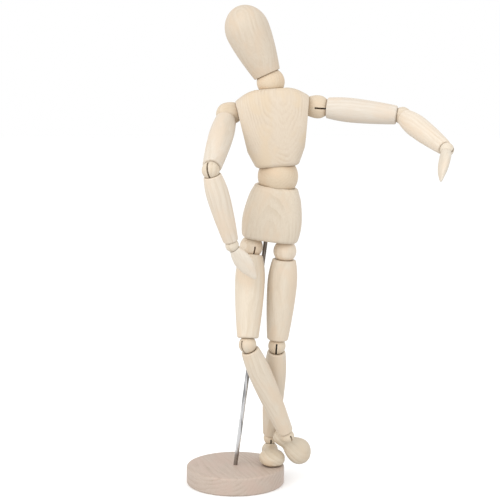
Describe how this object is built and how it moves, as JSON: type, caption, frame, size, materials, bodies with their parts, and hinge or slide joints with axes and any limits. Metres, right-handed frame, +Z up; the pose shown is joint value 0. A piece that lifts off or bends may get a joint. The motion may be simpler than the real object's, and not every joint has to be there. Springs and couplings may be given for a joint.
{
  "type": "artist mannequin",
  "caption": "Jointed wooden artist's figure on a steel rod and a round wooden base, with an egg-shaped head, turned limbs and slotted ball joints.",
  "frame": {"origin": "centre of the round base's underside", "axes": "+Z is up; the figure faces -Y and +X is the figure's left side"},
  "size_m": [0.1592, 0.1149, 0.3038],
  "materials": {
    "limb_wood": "fine-sanded pale hardwood, unvarnished",
    "ball_wood": "fine-sanded pale hardwood, slightly warmer",
    "base_wood": "sanded beech with short grain flecks",
    "steel_rod": "drawn steel wire rod, satin",
    "steel_hardware": "darkened steel tongues, pins, links and springs"
  },
  "bodies": {
    "base": {"base": "base_wood"},
    "rod": {"rod": "steel_rod"},
    "pelvis": {"pelvis": "limb_wood"},
    "waist_link": {"waist_link": "steel_hardware"},
    "waist_ball": {"waist_ball": "ball_wood"},
    "chest": {"chest": "limb_wood", "chest_spring": "steel_hardware"},
    "neck_link": {"neck_link": "steel_hardware"},
    "neck_ball": {"neck_ball": "ball_wood"},
    "head": {"head": "limb_wood"},
    "left_shoulder_ball": {"left_shoulder_ball": "ball_wood", "left_shoulder_pin": "steel_hardware"},
    "left_upper_arm": {"left_upper_arm": "limb_wood", "left_shoulder_tongue": "steel_hardware"},
    "left_elbow_ball": {"left_elbow_ball": "limb_wood", "left_elbow_pin": "steel_hardware"},
    "left_forearm": {"left_forearm": "limb_wood", "left_elbow_tongue": "steel_hardware"},
    "left_wrist_ball": {"left_wrist_ball": "limb_wood", "left_wrist_pin": "steel_hardware"},
    "left_wrist_tongue": {"left_wrist_tongue": "steel_hardware"},
    "left_hand": {"left_hand": "limb_wood"},
    "left_hip_ball": {"left_hip_ball": "ball_wood", "left_hip_pin": "steel_hardware"},
    "left_thigh": {"left_thigh": "limb_wood", "left_hip_tongue": "steel_hardware", "left_thigh_spring": "steel_hardware"},
    "left_knee_ball": {"left_knee_ball": "limb_wood", "left_knee_pin": "steel_hardware"},
    "left_shin": {"left_shin": "limb_wood", "left_knee_tongue": "steel_hardware"},
    "left_ankle_ball": {"left_ankle_ball": "limb_wood", "left_ankle_pin": "steel_hardware"},
    "left_ankle_tongue": {"left_ankle_tongue": "steel_hardware"},
    "left_foot": {"left_foot": "limb_wood"},
    "right_shoulder_ball": {"right_shoulder_ball": "ball_wood", "right_shoulder_pin": "steel_hardware"},
    "right_upper_arm": {"right_upper_arm": "limb_wood", "right_shoulder_tongue": "steel_hardware"},
    "right_elbow_ball": {"right_elbow_ball": "limb_wood", "right_elbow_pin": "steel_hardware"},
    "right_forearm": {"right_forearm": "limb_wood", "right_elbow_tongue": "steel_hardware"},
    "right_wrist_ball": {"right_wrist_ball": "limb_wood", "right_wrist_pin": "steel_hardware"},
    "right_wrist_tongue": {"right_wrist_tongue": "steel_hardware"},
    "right_hand": {"right_hand": "limb_wood"},
    "right_hip_ball": {"right_hip_ball": "ball_wood", "right_hip_pin": "steel_hardware"},
    "right_thigh": {"right_thigh": "limb_wood", "right_hip_tongue": "steel_hardware", "right_thigh_spring": "steel_hardware"},
    "right_knee_ball": {"right_knee_ball": "limb_wood", "right_knee_pin": "steel_hardware"},
    "right_shin": {"right_shin": "limb_wood", "right_knee_tongue": "steel_hardware"},
    "right_ankle_ball": {"right_ankle_ball": "limb_wood", "right_ankle_pin": "steel_hardware"},
    "right_ankle_tongue": {"right_ankle_tongue": "steel_hardware"},
    "right_foot": {"right_foot": "limb_wood"}
  },
  "joints": [
    {"name": "stand_swivel", "type": "hinge", "parent": "base", "child": "rod", "pos_m": [0, 0, 0.0115], "axis": [0.1303, -0.0523, 0.9901], "range_deg": [-0.75, 40]},
    {"name": "pelvis_lift", "type": "slide", "parent": "rod", "child": "pelvis", "axis": [-0.1303, 0.0523, -0.9901], "range_m": [-0.012, 0]},
    {"name": "waist_twist", "type": "hinge", "parent": "pelvis", "child": "waist_link", "pos_m": [0.02675, -0.01545, 0.19937], "axis": [0.1303, -0.0523, 0.9901], "range_deg": [-30, 30]},
    {"name": "waist_side_bend", "type": "hinge", "parent": "waist_link", "child": "waist_ball", "pos_m": [0.02675, -0.01545, 0.19937], "axis": [-0.0105, 0.9985, 0.0542], "range_deg": [-8, 32]},
    {"name": "waist_fore_bend", "type": "hinge", "parent": "waist_ball", "child": "chest", "pos_m": [0.02675, -0.01545, 0.19937], "axis": [0.9968, 0.0062, 0.0791], "range_deg": [-16, 9]},
    {"name": "neck_twist", "type": "hinge", "parent": "chest", "child": "neck_link", "pos_m": [0.02216, -0.01458, 0.25718], "axis": [-0.0792, 0.015, 0.9967], "range_deg": [-60, 60]},
    {"name": "neck_side_tilt", "type": "hinge", "parent": "neck_link", "child": "neck_ball", "pos_m": [0.02216, -0.01458, 0.25718], "axis": [-0.005, 0.9999, -0.0154], "range_deg": [-8, 48]},
    {"name": "head_nod", "type": "hinge", "parent": "neck_ball", "child": "head", "pos_m": [0.02216, -0.01458, 0.25718], "axis": [0.9097, 0.0109, 0.4152], "range_deg": [-28, 28]},
    {"name": "left_shoulder_swivel", "type": "hinge", "parent": "chest", "child": "left_shoulder_ball", "pos_m": [0.05137, -0.01467, 0.24204], "axis": [0.997, 0.0037, -0.0778], "range_deg": [-150, 150]},
    {"name": "left_shoulder_swing", "type": "hinge", "parent": "left_shoulder_ball", "child": "left_upper_arm", "pos_m": [0.05137, -0.01467, 0.24204], "axis": [-0.0777, 0.1236, -0.9893], "range_deg": [-81, 59]},
    {"name": "left_elbow_swivel", "type": "hinge", "parent": "left_upper_arm", "child": "left_elbow_ball", "pos_m": [0.1022, -0.02433, 0.23684], "axis": [0.9775, -0.1857, -0.0999], "range_deg": [-150, 150]},
    {"name": "left_elbow_swing", "type": "hinge", "parent": "left_elbow_ball", "child": "left_forearm", "pos_m": [0.1022, -0.02433, 0.23684], "axis": [-0.0133, 0.4187, -0.908], "range_deg": [-119, 15]},
    {"name": "left_wrist_swivel", "type": "hinge", "parent": "left_forearm", "child": "left_wrist_ball", "pos_m": [0.12356, -0.06425, 0.21812], "axis": [0.436, -0.8148, -0.3821], "range_deg": [-150, 150]},
    {"name": "left_wrist_swing", "type": "hinge", "parent": "left_wrist_ball", "child": "left_wrist_tongue", "pos_m": [0.12356, -0.06425, 0.21812], "axis": [0.3394, 0.5421, -0.7687], "range_deg": [-108, 22]},
    {"name": "left_hand_twist", "type": "hinge", "parent": "left_wrist_tongue", "child": "left_hand", "pos_m": [0.12356, -0.06425, 0.21812], "axis": [-0.2496, -0.736, -0.6293], "range_deg": [-90, 90]},
    {"name": "left_hip_swivel", "type": "hinge", "parent": "pelvis", "child": "left_hip_ball", "pos_m": [0.03128, -0.01305, 0.15254], "axis": [-0.1303, 0.0523, -0.9901], "range_deg": [-57, 0.75]},
    {"name": "left_hip_swing", "type": "hinge", "parent": "left_hip_ball", "child": "left_thigh", "pos_m": [0.03128, -0.01305, 0.15254], "axis": [0.0968, -0.9932, -0.0652], "range_deg": [-4, 0.25]},
    {"name": "left_knee_swivel", "type": "hinge", "parent": "left_thigh", "child": "left_knee_ball", "pos_m": [0.02648, -0.00952, 0.09173], "axis": [-0.0785, 0.0577, -0.9952], "range_deg": [-51, 1.75]},
    {"name": "left_knee_swing", "type": "hinge", "parent": "left_knee_ball", "child": "left_shin", "pos_m": [0.02648, -0.00952, 0.09173], "axis": [-0.9939, 0.0725, 0.0826], "range_deg": [-57.5, 0.5]},
    {"name": "left_ankle_swivel", "type": "hinge", "parent": "left_shin", "child": "left_ankle_ball", "pos_m": [0.02267, 0.01364, 0.02557], "axis": [0.0543, -0.3299, 0.9424], "range_deg": [-30, 4]},
    {"name": "left_ankle_swing", "type": "hinge", "parent": "left_ankle_ball", "child": "left_ankle_tongue", "pos_m": [0.02267, 0.01364, 0.02557], "axis": [-0.9868, -0.1622, 0], "range_deg": [-0.75, 3]},
    {"name": "left_foot_twist", "type": "hinge", "parent": "left_ankle_tongue", "child": "left_foot", "pos_m": [0.02267, 0.01364, 0.02557], "axis": [-0.0001, 0.0006, -1], "range_deg": [-5, 90]},
    {"name": "right_shoulder_swivel", "type": "hinge", "parent": "chest", "child": "right_shoulder_ball", "pos_m": [-0.0043, -0.01502, 0.23763], "axis": [-0.9722, -0.0084, -0.234], "range_deg": [-5, 150]},
    {"name": "right_shoulder_swing", "type": "hinge", "parent": "right_shoulder_ball", "child": "right_upper_arm", "pos_m": [-0.0043, -0.01502, 0.23763], "axis": [-0.184, -0.5907, 0.7856], "range_deg": [-141, 0]},
    {"name": "right_elbow_swivel", "type": "hinge", "parent": "right_upper_arm", "child": "right_elbow_ball", "pos_m": [-0.01363, -0.05483, 0.2055], "axis": [-0.1795, -0.7656, -0.6177], "range_deg": [-150, 150]},
    {"name": "right_elbow_swing", "type": "hinge", "parent": "right_elbow_ball", "child": "right_forearm", "pos_m": [-0.01363, -0.05483, 0.2055], "axis": [0.9257, -0.344, 0.1573], "range_deg": [-140, 0.75]},
    {"name": "right_wrist_swivel", "type": "hinge", "parent": "right_forearm", "child": "right_wrist_ball", "pos_m": [-0.00131, -0.04263, 0.15967], "axis": [0.2514, 0.2489, -0.9353], "range_deg": [-150, 150]},
    {"name": "right_wrist_swing", "type": "hinge", "parent": "right_wrist_ball", "child": "right_wrist_tongue", "pos_m": [-0.00131, -0.04263, 0.15967], "axis": [0.0342, -0.968, -0.2485], "range_deg": [-82, 48]},
    {"name": "right_hand_twist", "type": "hinge", "parent": "right_wrist_tongue", "child": "right_hand", "pos_m": [-0.00131, -0.04263, 0.15967], "axis": [0.5232, 0.2291, -0.8208], "range_deg": [-90, 90]},
    {"name": "right_hip_swivel", "type": "hinge", "parent": "pelvis", "child": "right_hip_ball", "pos_m": [0.01026, -0.01305, 0.15531], "axis": [0.1303, -0.0523, 0.9901], "range_deg": [-150, 1.75]},
    {"name": "right_hip_swing", "type": "hinge", "parent": "right_hip_ball", "child": "right_thigh", "pos_m": [0.01026, -0.01305, 0.15531], "axis": [-0.9397, -0.3251, 0.1065], "range_deg": [0, 21]},
    {"name": "right_knee_swivel", "type": "hinge", "parent": "right_thigh", "child": "right_knee_ball", "pos_m": [0.00793, -0.02588, 0.09561], "axis": [-0.0381, -0.21, -0.977], "range_deg": [-1.75, 150]},
    {"name": "right_knee_swing", "type": "hinge", "parent": "right_knee_ball", "child": "right_shin", "pos_m": [0.00793, -0.02588, 0.09561], "axis": [0.7413, -0.6615, 0.1132], "range_deg": [-1.25, 1.75]},
    {"name": "right_ankle_swivel", "type": "hinge", "parent": "right_shin", "child": "right_ankle_ball", "pos_m": [0.03341, -0.00809, 0.03267], "axis": [0.363, 0.2533, -0.8967], "range_deg": [-17, 150]},
    {"name": "right_ankle_swing", "type": "hinge", "parent": "right_ankle_ball", "child": "right_ankle_tongue", "pos_m": [0.03341, -0.00809, 0.03267], "axis": [0.7556, 0.4831, 0.4424], "range_deg": [-132, 0]},
    {"name": "right_foot_twist", "type": "hinge", "parent": "right_ankle_tongue", "child": "right_foot", "pos_m": [0.03341, -0.00809, 0.03267], "axis": [-0.3524, 0.8691, -0.3472], "range_deg": [-88, 7]}
  ]
}
